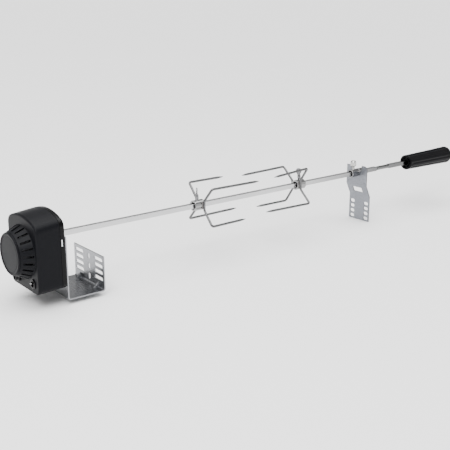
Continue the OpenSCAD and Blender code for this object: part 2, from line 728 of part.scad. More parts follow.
motor_bracket();
cradle_bracket();
motor_housing();
drum_cap();
rear_cover();
cover_screws();
hanger_studs();
front_gear_plate();
rear_gear_plate();
plate_pillars();
stator_can();
coil_bobbin();
stator_coil();
rotor_magnet();
rotor_shaft();
rotor_bushes();
gear_pins();
first_gear();
second_gear();
output_gear();
drive_socket();
socket_bushes();
switch_body();
switch_nut();
switch_lever();
cord_gland();
spit_rod();
spit_bushing();
bushing_screw();
fork_1_hub();
fork_1_near_prongs();
fork_1_far_prongs();
fork_1_screw();
fork_2_hub();
fork_2_near_prongs();
fork_2_far_prongs();
fork_2_screw();
handle_ferrule();
handle_grip();
handle_cap();
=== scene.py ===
import json
import math

import bmesh
import bpy
from mathutils import Matrix, Vector


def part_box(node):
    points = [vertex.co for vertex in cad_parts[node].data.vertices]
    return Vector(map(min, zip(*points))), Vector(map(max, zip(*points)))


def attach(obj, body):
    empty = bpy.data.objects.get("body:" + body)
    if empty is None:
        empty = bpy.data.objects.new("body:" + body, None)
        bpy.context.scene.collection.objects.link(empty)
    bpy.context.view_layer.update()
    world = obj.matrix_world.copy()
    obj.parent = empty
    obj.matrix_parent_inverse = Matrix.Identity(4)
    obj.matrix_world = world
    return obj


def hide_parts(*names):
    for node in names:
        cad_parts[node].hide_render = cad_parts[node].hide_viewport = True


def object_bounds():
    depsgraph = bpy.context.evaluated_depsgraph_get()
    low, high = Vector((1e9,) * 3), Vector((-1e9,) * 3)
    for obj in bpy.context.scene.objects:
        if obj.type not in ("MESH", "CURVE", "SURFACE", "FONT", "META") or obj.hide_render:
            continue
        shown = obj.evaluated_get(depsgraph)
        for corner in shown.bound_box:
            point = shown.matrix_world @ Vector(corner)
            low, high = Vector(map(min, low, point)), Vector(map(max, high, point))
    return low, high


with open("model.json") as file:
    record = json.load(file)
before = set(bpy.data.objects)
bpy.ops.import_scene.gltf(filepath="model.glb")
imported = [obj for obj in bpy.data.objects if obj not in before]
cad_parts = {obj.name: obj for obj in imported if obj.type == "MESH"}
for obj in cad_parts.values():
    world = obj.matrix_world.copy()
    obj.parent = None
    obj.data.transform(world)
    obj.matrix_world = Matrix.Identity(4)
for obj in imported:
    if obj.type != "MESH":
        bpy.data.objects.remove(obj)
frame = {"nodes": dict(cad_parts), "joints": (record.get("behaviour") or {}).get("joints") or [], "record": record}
cad_lo, cad_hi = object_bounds()
nodes = frame["nodes"]
joints = {j["name"]: j for j in frame["joints"]}
body_of = {n: b for b, ns in frame["record"]["behaviour"]["bodies"].items() for n in ns}

# Every shape is drawn in millimetres in the spit's frame: x from the motor plate, y and z
# from the spit's axis. SPIT takes that frame to the shared one.
MM = 0.001
plate_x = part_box("motor_bracket")[0].x
rod_lo, rod_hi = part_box("spit_rod")
spit_z = (rod_lo.z + rod_hi.z) / 2
SPIT = Matrix.Translation((plate_x, 0, spit_z)) @ Matrix.Diagonal((MM, MM, MM, 1))
TAU = 2 * math.pi


def along(x):
    """A shared-frame x as millimetres from the motor plate."""
    return (x - plate_x) / MM


def above(z):
    """A shared-frame z as millimetres above the spit's axis."""
    return (z - spit_z) / MM


# ---------------------------------------------------------------- materials

# the part of a noise's range that the colour and roughness ramps spread over
NOISE_LOW, NOISE_HIGH = 0.30, 0.70


def material(name, base, metallic=0.0, rough=0.5, vary=0.06, tint=0.10, grain=900.0,
             stretch=(1, 1, 1), bump=0.15, depth=0.00002, blotch=18.0, cloud=0.5, spec=0.5,
             seed=0.0):
    """Principled surface whose colour, roughness and bump come from a fine grain and a cloud."""
    m = bpy.data.materials.new(name)
    m.use_nodes = True
    t = m.node_tree
    p = t.nodes["Principled BSDF"]
    p.inputs["Metallic"].default_value = metallic
    p.inputs["Specular IOR Level"].default_value = spec
    coords = t.nodes.new("ShaderNodeTexCoord")
    place = t.nodes.new("ShaderNodeMapping")
    place.inputs["Scale"].default_value = stretch
    place.inputs["Location"].default_value = (seed, seed * 0.7, seed * 1.3)
    t.links.new(coords.outputs["Object"], place.inputs["Vector"])
    fine = t.nodes.new("ShaderNodeTexNoise")
    fine.inputs["Scale"].default_value = grain
    fine.inputs["Detail"].default_value = 5.0
    fine.inputs["Roughness"].default_value = 0.62
    t.links.new(place.outputs["Vector"], fine.inputs["Vector"])
    broad = t.nodes.new("ShaderNodeTexNoise")
    broad.inputs["Scale"].default_value = blotch
    broad.inputs["Detail"].default_value = 4.0
    t.links.new(coords.outputs["Object"], broad.inputs["Vector"])
    both = t.nodes.new("ShaderNodeMix")
    both.data_type = "FLOAT"
    both.inputs["Factor"].default_value = cloud
    t.links.new(fine.outputs["Fac"], both.inputs["A"])
    t.links.new(broad.outputs["Fac"], both.inputs["B"])
    ramp = t.nodes.new("ShaderNodeValToRGB")
    dark, pale = ramp.color_ramp.elements
    dark.position, pale.position = NOISE_LOW, NOISE_HIGH
    dark.color = [c * (1 - tint) for c in base] + [1]
    pale.color = [min(1, c * (1 + tint)) for c in base] + [1]
    t.links.new(both.outputs["Result"], ramp.inputs["Fac"])
    t.links.new(ramp.outputs["Color"], p.inputs["Base Color"])
    spread = t.nodes.new("ShaderNodeMapRange")
    spread.inputs["From Min"].default_value = NOISE_LOW
    spread.inputs["From Max"].default_value = NOISE_HIGH
    spread.inputs["To Min"].default_value = max(0.02, rough - vary)
    spread.inputs["To Max"].default_value = min(1, rough + vary)
    t.links.new(both.outputs["Result"], spread.inputs["Value"])
    t.links.new(spread.outputs["Result"], p.inputs["Roughness"])
    relief = t.nodes.new("ShaderNodeBump")
    relief.inputs["Strength"].default_value = bump
    relief.inputs["Distance"].default_value = depth
    t.links.new(fine.outputs["Fac"], relief.inputs["Height"])
    t.links.new(relief.outputs["Normal"], p.inputs["Normal"])
    return m


# The view lifts dark tones, so the blacks and the steels are set darker than they look.
MAT = {
    "bracket_steel": material("satin_stainless", (0.27, 0.274, 0.286), 1.0, 0.25, 0.05, 0.10,
                              34.0, stretch=(26, 1, 26), bump=0.09, depth=0.00001),
    "cradle_steel": material("grained_stainless", (0.23, 0.239, 0.262), 1.0, 0.40, 0.07, 0.32,
                             600.0, bump=0.35, depth=0.00004, cloud=0.3, seed=2.0),
    # painted shade: a darker steel for the cradle's cut edges
    "cut_edge": material("cut_edge_painted_shade", (0.085, 0.087, 0.095), 1.0, 0.5, 0.08, 0.25, 1200.0,
                         bump=0.4, depth=0.00005, seed=19.0),
    "black_plastic": material("textured_black", (0.0034, 0.0036, 0.0048), 0.0, 0.44, 0.06, 0.18,
                              1500.0, bump=0.35, depth=0.00005, cloud=0.4, spec=0.085),
    "cover_plastic": material("smooth_black", (0.0010, 0.0010, 0.0013), 0.0, 0.26, 0.05, 0.2,
                              900.0, bump=0.10, spec=0.13, seed=4.0),
    "grip_plastic": material("heat_resistant_black", (0.0020, 0.0020, 0.0027), 0.0, 0.36, 0.07,
                             0.2, 800.0, bump=0.25, depth=0.00004, spec=0.07, seed=6.0),
    "gland_rubber": material("black_rubber", (0.004, 0.004, 0.005), 0.0, 0.36, 0.07, 0.2, 900.0,
                             bump=0.2, spec=0.2, seed=13.0),
    "screw_steel": material("zinc_plate", (0.60, 0.60, 0.62), 1.0, 0.32, 0.08, 0.1, 700.0,
                            seed=8.0),
    "zinc_steel": material("zinc_sheet", (0.13, 0.13, 0.135), 1.0, 0.46, 0.08, 0.1, 300.0,
                           seed=9.0),
    # painted highlight: a brighter copy of the zinc colour, given to the rear gear plate
    "bright_sheet": material("bright_zinc_painted_highlight", (0.86, 0.87, 0.88), 1.0, 0.34, 0.07, 0.06, 300.0,
                             seed=10.0),
    "bobbin_plastic": material("nylon", (0.72, 0.67, 0.55), 0.0, 0.5, 0.05, 0.05, 500.0),
    "copper_wire": material("copper_winding", (0.66, 0.30, 0.15), 1.0, 0.35, 0.08, 0.15, 60.0,
                            stretch=(60, 1, 1), bump=0.6, depth=0.0001),
    "ferrite": material("sintered_ferrite", (0.06, 0.06, 0.065), 0.0, 0.6, 0.08, 0.15, 1200.0,
                        bump=0.4),
    "bronze": material("sintered_bronze", (0.62, 0.46, 0.24), 1.0, 0.42, 0.06, 0.12, 1600.0,
                       bump=0.4),
    "gear_plastic": material("acetal", (0.80, 0.77, 0.68), 0.0, 0.38, 0.05, 0.04, 600.0),
    "gear_steel": material("machined_steel", (0.48, 0.48, 0.50), 1.0, 0.36, 0.08, 0.12, 80.0,
                           stretch=(30, 1, 1)),
    "bright_metal": material("polished_metal", (0.24, 0.24, 0.245), 1.0, 0.12, 0.04, 0.05, 400.0,
                             bump=0.05, seed=11.0),
    "knob_metal": material("nickel_knurl", (0.52, 0.52, 0.50), 1.0, 0.28, 0.06, 0.06, 600.0,
                           seed=12.0),
    "rod_steel": material("bright_rod", (0.52, 0.52, 0.525), 1.0, 0.17, 0.05, 0.07, 30.0,
                          stretch=(1, 30, 30), bump=0.12, seed=14.0),
    "hub_steel": material("plated_hub", (0.27, 0.27, 0.27), 1.0, 0.15, 0.05, 0.08, 500.0,
                          bump=0.08, seed=15.0),
    "prong_steel": material("drawn_wire", (0.115, 0.115, 0.117), 1.0, 0.28, 0.08, 0.14, 300.0,
                            seed=16.0),
    "wing_steel": material("plated_wing", (0.20, 0.20, 0.205), 1.0, 0.24, 0.07, 0.1, 700.0,
                           seed=17.0),
    "weld_steel": material("weld_bead", (0.20, 0.19, 0.185), 1.0, 0.48, 0.1, 0.3, 1400.0,
                           bump=0.6, depth=0.0001, seed=18.0),
}


def paint_shade_along_x(m, start, end, level):
    """Paints shade into a colour along the object's X, from full at start to level at end (metres)."""
    t = m.node_tree
    p = t.nodes["Principled BSDF"]
    colour = p.inputs["Base Color"].links[0].from_socket
    coords = t.nodes.new("ShaderNodeTexCoord")
    split = t.nodes.new("ShaderNodeSeparateXYZ")
    t.links.new(coords.outputs["Object"], split.inputs["Vector"])
    fade = t.nodes.new("ShaderNodeMapRange")
    fade.interpolation_type = "SMOOTHSTEP"
    fade.inputs["From Min"].default_value = start
    fade.inputs["From Max"].default_value = end
    fade.inputs["To Min"].default_value = 1.0
    fade.inputs["To Max"].default_value = level
    t.links.new(split.outputs["X"], fade.inputs["Value"])
    scale = t.nodes.new("ShaderNodeVectorMath")
    scale.operation = "SCALE"
    t.links.new(colour, scale.inputs[0])
    t.links.new(fade.outputs["Result"], scale.inputs["Scale"])
    t.links.new(scale.outputs["Vector"], p.inputs["Base Color"])


# painted shade: the rod's colour is full beside the motor and darkens toward the handle
UNSHADED_TO, FULL_SHADE_FROM, SHADE_LEVEL = 0.42, 0.78, 0.25
paint_shade_along_x(MAT["rod_steel"], plate_x + UNSHADED_TO, plate_x + FULL_SHADE_FROM, SHADE_LEVEL)

SLOTS = {s["node"]: s["material_slot"] for s in frame["record"]["subparts"]}
for name, node in nodes.items():
    node.data.materials.clear()
    # painted highlight: the rear gear plate gets the bright zinc colour, so its tabs show as bright glints in the
    # cover's side slots
    node.data.materials.append(MAT["bright_sheet" if name == "rear_gear_plate" else SLOTS[name]])


# ---------------------------------------------------------------- mesh helpers

def add(name, bm, body, mat, replaces=(), local=None, sharp=38):
    """Puts a mesh drawn in spit millimetres into the scene and lets it ride on a body."""
    bmesh.ops.transform(bm, matrix=SPIT @ (local or Matrix.Identity(4)), verts=bm.verts)
    bmesh.ops.recalc_face_normals(bm, faces=bm.faces)
    return finish_piece(name, bm, body, mat, replaces, sharp)


def finish_piece(name, bm, body, mat, replaces, sharp):
    """Turns a mesh in the shared frame into a piece; edges over sharp degrees stay sharp."""
    me = bpy.data.meshes.new(name)
    bm.to_mesh(me)
    bm.free()
    me.materials.append(MAT[mat])
    for p in me.polygons:
        p.use_smooth = True
    me.set_sharp_from_angle(angle=math.radians(sharp))
    o = bpy.data.objects.new(name, me)
    bpy.context.scene.collection.objects.link(o)
    # flat faces keep their own normals beside their rounded edges
    weights = o.modifiers.new("face_weights", "WEIGHTED_NORMAL")
    weights.keep_sharp = True
    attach(o, body)
    if replaces:
        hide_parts(*replaces)
    return o


def edges_over(bm, degrees):
    """Edges between two faces that meet at more than an angle."""
    return [e for e in bm.edges
            if len(e.link_faces) == 2 and e.calc_face_angle(0) > math.radians(degrees)]


def round_off(bm, edges, width, segments):
    """Rounds edges by width, in the mesh's own units."""
    bmesh.ops.bevel(bm, geom=edges, offset=width, offset_type="OFFSET", segments=segments,
                    profile=0.5, affect="EDGES", clamp_overlap=False)


def refine(node, width, mat=None, segments=3, angle=28, sharp=32, soft=None, ease=0):
    """Copies a CAD node and rounds its sharp edges by width (mm).

    Edges whose ends both pass soft are rounded by ease (mm) first.
    """
    bm = bmesh.new()
    bm.from_mesh(nodes[node].data)
    bmesh.ops.remove_doubles(bm, verts=bm.verts, dist=3e-6)
    # coplanar triangles become one face
    bmesh.ops.dissolve_limit(bm, angle_limit=math.radians(0.6), verts=bm.verts, edges=bm.edges)
    if soft:
        edges = [e for e in edges_over(bm, 60) if soft(e.verts[0].co) and soft(e.verts[1].co)]
        round_off(bm, edges, ease * MM, 5)
    round_off(bm, edges_over(bm, angle), width * MM, segments)
    return finish_piece(node + "_look", bm, body_of[node], mat or SLOTS[node], (node,),
                        sharp)


def loft(bm, rings, start=False, end=False):
    """Quads between closed rings of points; start and end close the first and last ring."""
    vs = [[bm.verts.new(p) for p in ring] for ring in rings]
    n = len(vs[0])
    for a, b in zip(vs, vs[1:]):
        for k in range(n):
            q = (k + 1) % n
            bm.faces.new((a[k], a[q], b[q], b[k]))
    if start:
        bm.faces.new(list(reversed(vs[0])))
    if end:
        bm.faces.new(vs[-1])
    return vs


def rounded(points, radius, steps=5):
    """Open 2-D line with its inner corners rounded by one radius or by one radius each."""
    pts = [Vector(p) for p in points]
    out = [pts[0]]
    radii = radius if isinstance(radius, (list, tuple)) else [radius] * (len(pts) - 2)
    for a, b, c, r in zip(pts, pts[1:], pts[2:], radii):
        u, v = a - b, c - b
        lu, lv = u.length, v.length
        u.normalize()
        v.normalize()
        w = u.angle(v)
        if r <= 0 or w > math.pi - 0.03:
            out.append(b)
            continue
        t = min(r / math.tan(w / 2), 0.48 * lu, 0.48 * lv)
        rr = t * math.tan(w / 2)
        o = b + (u + v).normalized() * rr / math.sin(w / 2)
        p, q = b + u * t - o, b + v * t - o
        s = p.angle(q)
        for k in range(steps + 1):
            f = k / steps
            out.append(o + (p * math.sin(s * (1 - f)) + q * math.sin(s * f)) / math.sin(s))
    out.append(pts[-1])
    return out


def lathe(bm, profile, n=72, centre=(0, 0), shape=None):
    """Turns (x, radius) points about X. shape(x, radius, angle) may change the radius."""
    rings = []
    for x, r in profile:
        ring = []
        for k in range(n):
            a = TAU * k / n
            q = shape(x, r, a) if shape else r
            ring.append(Vector((x, centre[0] + q * math.cos(a), centre[1] + q * math.sin(a))))
        rings.append(ring)
    return loft(bm, rings, start=True, end=True)


def sweep(bm, path, radii, sides=20):
    """Round bar along a path, with frames carried along it so that it doesn't twist."""
    side = Vector((0, 0.7, 0.71))
    rings = []
    for i, p in enumerate(path):
        t = (path[min(i + 1, len(path) - 1)] - path[max(i - 1, 0)]).normalized()
        side = (side - t * side.dot(t)).normalized()
        up = t.cross(side)
        rings.append([p + (side * math.cos(TAU * k / sides) + up * math.sin(TAU * k / sides))
                      * radii[i] for k in range(sides)])
    return loft(bm, rings, start=True, end=True)


def offset_loop(points, d):
    """Closed 2-D loop moved inwards by d (the loop runs anticlockwise)."""
    out = []
    n = len(points)
    for i in range(n):
        a, b, c = points[i - 1], points[i], points[(i + 1) % n]
        n1 = Vector((-(b - a).y, (b - a).x)).normalized()
        n2 = Vector((-(c - b).y, (c - b).x)).normalized()
        m = (n1 + n2).normalized()
        out.append(b + m * d / max(0.4, m.dot(n1)))
    return out


# crest radius of an M6 thread
CREST = 2.86


def thread(start, stop, pitch, rise, root):
    """(x, radius) points of a thread drawn as rings, crest and root in turn."""
    points = []
    while start < stop:
        points += [(start, CREST), (start + rise, root)]
        start += pitch
    return points


# ---------------------------------------------------------------- motor

cover_lo, cover_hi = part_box("rear_cover")
lid_lo, lid_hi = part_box("drum_cap")
FACE = -46.0
SEAM = along(cover_lo.x)
CROWN = 100.0
WALL = 2.5
FACE_FILLET = 3.2
# half width, crown, floor, shoulder radius and foot radius at the cover and at the face
AT_COVER = (cover_hi.y / MM, above(cover_hi.z), above(cover_lo.z), 13.0, 8.0)
AT_FACE = (AT_COVER[0], AT_COVER[1] - 4, AT_COVER[2] - 4, 14.0, 13.0)

DRUM_X = along(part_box("motor_housing")[0].x)
DRUM_Z = -16.0
DRUM_R1 = 41.0
DRUM_R2 = (lid_hi.y - lid_lo.y) / 2 / MM
DRUM_SKIN = 2.3
DRUM_LIP = -64.95
SLOT_A, SLOT_B = FACE - 1.0, FACE - 15.0
SLOT_COUNT, SLOT_HALF = 21, 1.6
FIRST_SLOT = math.radians(180 + 13.5)

# radius of the hole that each fitting sits in, and the (y, z) places of the cover's screws
HOLES = (("switch_nut", 5.9), ("cord_gland", 4.5))
SCREWS_AT = ((-41, -62.5), (41, -62.5), (-30, 27), (30, 27))


def outline(shape, inset):
    """Housing outline in y and z, with the same count of points for every shape and inset."""
    half, top, floor, corner, foot = shape
    cy = half - corner
    crown_z = top - CROWN
    cz = crown_z + math.sqrt((CROWN - corner) ** 2 - cy * cy)
    rise = math.atan2(cz - crown_z, cy)
    fz = floor + foot
    fy = half - foot
    pts = []

    def arc(c, r, a, b, n, last):
        for k in range(n + 1 if last else n):
            w = a + (b - a) * k / n
            pts.append(Vector((0, c[0] + r * math.cos(w), c[1] + r * math.sin(w))))

    arc((0, crown_z), CROWN - inset, rise, math.pi - rise, 28, False)
    arc((-cy, cz), corner - inset, math.pi - rise, math.pi, 14, True)
    arc((-fy, fz), foot - inset, math.pi, 1.5 * math.pi, 12, True)
    arc((fy, fz), foot - inset, 1.5 * math.pi, TAU, 12, True)
    arc((cy, cz), corner - inset, 0, rise, 14, False)
    return pts


def ring_at(x, inset):
    """Outline at x: crown and floor rise evenly from the face to the cover's seam."""
    t = (x - FACE) / (SEAM - FACE)
    face, cover = outline(AT_FACE, inset), outline(AT_COVER, inset)
    return [a.lerp(b, t) + Vector((x, 0, 0)) for a, b in zip(face, cover)]


def flank(x):
    """Radius of the drum's flank at x."""
    return DRUM_R1 - (DRUM_R1 - DRUM_R2) * (FACE - x) / (FACE - DRUM_X)


def loop_edges(ring):
    """Edges round a closed ring of vertices."""
    return [next(e for e in a.link_edges if e.other_vert(a) is b)
            for a, b in zip(ring, ring[1:] + ring[:1])]


def slotted_drum(bm):
    """Drum with a ring of cooling slots; returns its first and last ring and the slots' corners."""
    # rows run from the foot to the lip outside, then back inside
    rows = [(FACE, DRUM_R1 + 0.45), (FACE - 0.14, DRUM_R1 + 0.06)]
    rows += [(x, flank(x) - depth) for x, depth in (
        (FACE - 0.6, 0), (SLOT_A, 0), (SLOT_B, 0), (DRUM_LIP + 0.75, 0), (DRUM_LIP + 0.35, 0.25),
        (DRUM_LIP, 0.8), (DRUM_LIP, DRUM_SKIN), (SLOT_B, DRUM_SKIN), (SLOT_A, DRUM_SKIN))]
    rows.append((FACE + WALL, DRUM_R1 - DRUM_SKIN))
    outer_a, outer_b, inner_b, inner_a = 3, 4, 9, 10
    grid = []
    for x, r in rows:
        ring = []
        for i in range(SLOT_COUNT):
            mid = FIRST_SLOT + TAU * i / SLOT_COUNT
            s = math.asin(SLOT_HALF / r)
            gap = TAU / SLOT_COUNT - 2 * s
            for a in [mid - s, mid + s] + [mid + s + gap * f for f in (0.25, 0.5, 0.75)]:
                ring.append(bm.verts.new((x, r * math.cos(a), DRUM_Z + r * math.sin(a))))
        grid.append(ring)
    n = len(grid[0])
    per_slot = n // SLOT_COUNT
    for j in range(len(rows) - 1):
        for k in range(n):
            if k % per_slot == 0 and j in (outer_a, inner_b):
                continue
            q = (k + 1) % n
            bm.faces.new((grid[j][k], grid[j][q], grid[j + 1][q], grid[j + 1][k]))
    corners = set()
    for i in range(SLOT_COUNT):
        a, b = per_slot * i, per_slot * i + 1
        for k in (a, b):
            bm.faces.new([grid[j][k] for j in (outer_a, outer_b, inner_b, inner_a)])
        for ro, ri in ((outer_a, inner_a), (outer_b, inner_b)):
            bm.faces.new((grid[ro][a], grid[ro][b], grid[ri][b], grid[ri][a]))
            for k in (a, b):
                corners.add(frozenset((grid[ro][k], grid[ri][k])))
    return grid[0], grid[-1], corners


def motor_housing():
    """Shell with its slotted drum and the holes for the switch and the cord inlet."""
    bm = bmesh.new()
    insets = [(FACE + WALL, WALL), (SEAM - 0.25, WALL), (SEAM - 0.25, 0.45), (SEAM - 0.4, 0.12),
              (SEAM - 0.8, 0.0)]
    for k in range(7):
        w = math.pi / 2 * k / 6
        insets.append((FACE + FACE_FILLET * (1 - math.sin(w)), FACE_FILLET * (1 - math.cos(w))))
    shell = loft(bm, [ring_at(x, i) for x, i in insets])
    drum_foot, drum_inside, corners = slotted_drum(bm)
    front_rings, back_rings = [shell[-1], drum_foot], [shell[0], drum_inside]
    for node, r in HOLES:
        lo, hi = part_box(node)
        cy, cz = (lo.y + hi.y) / 2 / MM, above((lo.z + hi.z) / 2)
        front = [Vector((FACE, cy + r * math.cos(TAU * k / 32), cz + r * math.sin(TAU * k / 32)))
                 for k in range(32)]
        rings = loft(bm, [front, [p + Vector((WALL, 0, 0)) for p in front]])
        front_rings.append(rings[0])
        back_rings.append(rings[1])
    for loops in (front_rings, back_rings):
        edges = [e for ring in loops for e in loop_edges(ring)]
        bmesh.ops.triangle_fill(bm, use_beauty=True, use_dissolve=False, edges=edges,
                                normal=(-1, 0, 0))
    # rounded slot ends, then softened slot rims
    round_off(bm, [e for e in bm.edges if frozenset(e.verts) in corners], 1.1, 3)

    def on_flank(v):
        r = math.hypot(v.co.y, v.co.z - DRUM_Z)
        return SLOT_B - 0.05 < v.co.x < SLOT_A + 0.05 and abs(r - flank(v.co.x)) < 0.08

    rims = [e for e in edges_over(bm, 40) if on_flank(e.verts[0]) and on_flank(e.verts[1])]
    round_off(bm, rims, 0.32, 2)
    return add("motor_housing_look", bm, "root", "black_plastic", ("motor_housing",),
               sharp=34)


def drum_cap():
    """Flat cap with a raised rim, a shallow ring and a faint dome."""
    bm = bmesh.new()
    front, back = along(lid_lo.x), along(lid_hi.x)
    r = DRUM_R2
    points = [(front + 0.62, 0.8), (front + 0.72, r - 7.0), (front + 0.98, r - 5.4),
              (front + 0.80, r - 3.9), (front + 0.02, r - 2.9), (front + 0.02, r - 1.1),
              (front + 1.05, r - 0.03), (DRUM_X - 0.05, r - 0.03), (DRUM_X - 0.05, r - 2.6),
              (back, r - 2.7), (back, r - 4.5)]
    lathe(bm, rounded(points, [3, 0.6, 0.6, 0.35, 0.45, 0.6, 0.25, 0.1, 0.1], 4), n=112,
          centre=(0, DRUM_Z))
    return add("drum_cap_look", bm, "root", "black_plastic", ("drum_cap",),
               sharp=60)


def cross_recess(x, r, a):
    """Pinches the inner rings of a screw head into a cross."""
    if r > 1.75:
        return r
    return r * (1 - 0.62 * abs(math.sin(2 * a)) ** 0.7)


def screw_heads():
    """Domed cross-recess heads in the rear cover's pockets, with their shanks."""
    bm = bmesh.new()
    lo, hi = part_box("cover_screws")
    tail, head = along(lo.x), along(hi.x)
    profile = [(tail, 0.5), (tail + 2.5, 1.45), (head - 2.0, 1.5), (head - 2.0, 3.1),
               (head - 1.5, 3.3), (head - 0.9, 3.1), (head - 0.35, 2.6), (head - 0.05, 1.9),
               (head, 1.7), (head - 0.9, 1.3)]
    for place in SCREWS_AT:
        lathe(bm, profile, n=40, centre=place, shape=cross_recess)
    return add("cover_screws_look", bm, "root", "screw_steel", ("cover_screws",),
               sharp=45)


def rim_arcs():
    """Centre, radius and side (1 above, -1 below) of the cover's shoulder and foot arcs."""
    half, top, floor, corner, foot = AT_COVER
    cy = half - corner
    return ((cy, top - CROWN + math.sqrt((CROWN - corner) ** 2 - cy * cy), corner, 1),
            (half - foot, floor + foot, foot, -1))


def on_back_rim(p):
    """Whether a point lies on the outer edge of the cover's back."""
    if p.x < cover_hi.x - 1e-5:
        return False
    y, z = abs(p.y) / MM, above(p.z)
    half, top, floor = AT_COVER[:3]
    on_side = y > half - 0.1
    on_floor = z < floor + 0.1
    on_crown = math.hypot(y, z - top + CROWN) > CROWN - 0.1
    return on_side or on_floor or on_crown or any(
        abs(math.hypot(y - cy, z - cz) - r) < 0.1 and y > cy and s * (z - cz) > 0
        for cy, cz, r, s in rim_arcs())


def switch_lever():
    """Bat-shaped handle on its pivot ball."""
    bm = bmesh.new()
    pivot = Vector(joints["switch_flip"]["pos_m"])
    lean = math.radians(20)
    tip = (pivot.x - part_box("switch_lever")[0].x) / MM / math.cos(lean) - 0.35
    lathe(bm, rounded([(-2.1, 0.3), (-1.6, 1.7), (0.4, 2.1), (1.9, 1.25), (3.2, 1.3),
                       (tip - 1.9, 1.9), (tip - 0.5, 1.55), (tip, 0.3)], 1.2, 4), n=36)
    place = Matrix.Translation((along(pivot.x), pivot.y / MM, above(pivot.z)))
    return add("switch_lever_look", bm, "switch_lever", "bright_metal", ("switch_lever",),
               local=place @ Matrix.Rotation(math.pi + lean, 4, "Y"), sharp=60)


motor_housing()
drum_cap()
screw_heads()
refine("rear_cover", 0.4, soft=on_back_rim, ease=2.4)
refine("hanger_studs", 0.4)
refine("switch_body", 0.3)
refine("switch_nut", 0.28)
refine("cord_gland", 0.35)
switch_lever()

# ---------------------------------------------------------------- brackets

refine("motor_bracket", 0.3, segments=2)
cradle = refine("cradle_bracket", 0.3, mat="cradle_steel", segments=2)
# faces that don't look along the spit are the sheet's cut edges; they get a darker steel as painted shade
cradle.data.materials.append(MAT["cut_edge"])
for face in cradle.data.polygons:
    if abs(face.normal.x) < 0.5:
        face.material_index = 1

# ---------------------------------------------------------------- spit and bushing

ROD_HALF = (rod_hi.z - rod_lo.z) / 2 / MM
ROD_EDGE = 0.55
# x where the square rod ends in a groove, the journal starts, the square tang starts and the
# round pin under the handle starts
GROOVE_X, JOURNAL_X, TANG_X, PIN_X = 713.0, 716.0, 750.0, 811.0


def square_bar(bm, a, b, soft=0.7):
    """Square bar from a to b along X with rounded edges and chamfered ends."""
    def ring(x, inset):
        c, r = ROD_HALF - inset - ROD_EDGE, ROD_EDGE
        return [Vector((x, c * sy + r * math.cos(w + q), c * sz + r * math.sin(w + q)))
                for sy, sz, w in ((1, 1, 0), (-1, 1, TAU / 4), (-1, -1, TAU / 2),
                                  (1, -1, 3 * TAU / 4))
                for q in [TAU / 4 * k / 6 for k in range(7)]]
    loft(bm, [ring(a, soft), ring(a + soft, 0), ring(b - soft, 0), ring(b, soft)],
         start=True, end=True)


def spit_rod():
    """Square rod with a groove and a round journal near the handle."""
    bm = bmesh.new()
    near, far = along(rod_lo.x), along(rod_hi.x)
    square_bar(bm, near, GROOVE_X)
    lathe(bm, rounded([(GROOVE_X - 1.0, 3.2), (JOURNAL_X, 3.2), (JOURNAL_X, 4.0),
                       (TANG_X + 0.5, 4.0)], [0.3, 0.35], 3), n=48)
    square_bar(bm, TANG_X, PIN_X)
    lathe(bm, [(PIN_X - 0.5, 3.2), (PIN_X, 3.9), (far - 1.0, 3.9), (far, 2.9)], n=32)
    return add("spit_rod_look", bm, "spit", "rod_steel", ("spit_rod",), sharp=40)


def bushing_screw():
    """Threaded shank with a tall knurled knob, drawn along X and stood up on the rod."""
    bm = bmesh.new()
    lo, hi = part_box("bushing_screw")
    low, high = above(lo.z), above(hi.z)
    knob = (hi.y - lo.y) / 2 / MM

    def knurl(x, r, a):
        if high - 9.9 < x < high - 3.0 and r > 4:
            return r - 0.32 * (0.5 + 0.5 * math.cos(20 * a))
        return r

    head = rounded([(high - 11.4, 4.0), (high - 10.2, knob - 0.4), (high - 9.6, knob),
                    (high - 3.3, knob), (high - 0.9, 4.3), (high, 2.0), (high, 0.4)],
                   [0.5, 0.3, 0.9, 1.2, 0.8], 4)
    shank = [(low, 2.2)] + thread(low + 0.6, low + 9.1, 1.0, 0.5, 2.55) + [(high - 11.4, 2.8)]
    lathe(bm, shank + [tuple(p) for p in head], n=80, shape=knurl)
    stand = (Matrix.Translation((along((lo.x + hi.x) / 2), 0, 0))
             @ Matrix.Rotation(-math.pi / 2, 4, "Y"))
    return add("bushing_screw_look", bm, "bushing_screw", "knob_metal", ("bushing_screw",),
               local=stand, sharp=50)


spit_rod()
refine("spit_bushing", 0.35, angle=40)
bushing_screw()

# ---------------------------------------------------------------- forks

HUB_L, HUB_R, WIRE_R = 20.0, 9.0, 2.0
SPREAD, LONG, SHORT = 32.0, 103.0, 73.0
WIRE_X, WIRE_Y = HUB_L - 4.0, -HUB_R - WIRE_R + 0.15
SCREW_X, SCREW_R, SCREW_GAP = 8.5, 2.9, 0.3
# the second fork's near short prong is longer, and its tip nearer the rod
BENT_LONGER, BENT_TUCK = 8, 4
# distance from a prong's tip and radius there
GROUND = ((0.0, 0.14), (0.25, 0.34), (0.9, 0.52), (4.0, 1.02), (8.0, 1.60), (10.5, 1.90),
          (12.0, 2.0), (14.0, 2.0))
BEAD_HALF = 6.6
WING_R, WING_Z = 5.4, 24.5
WING_NECK = ((2.9, 18.9), (2.6, 17.4), (1.2, 16.8))
# half thickness of the wing and how far its outline is drawn in there
WING_EDGE = ((1.05, 1.9), (1.38, 1.15), (1.4, 0.75), (1.2, 0.28), (0.75, 0.03))


def mirrored(pairs):
    """Pairs with their first number negated, then the same pairs as they are, backwards."""
    return [(-a, b) for a, b in pairs] + [(a, b) for a, b in reversed(pairs)]


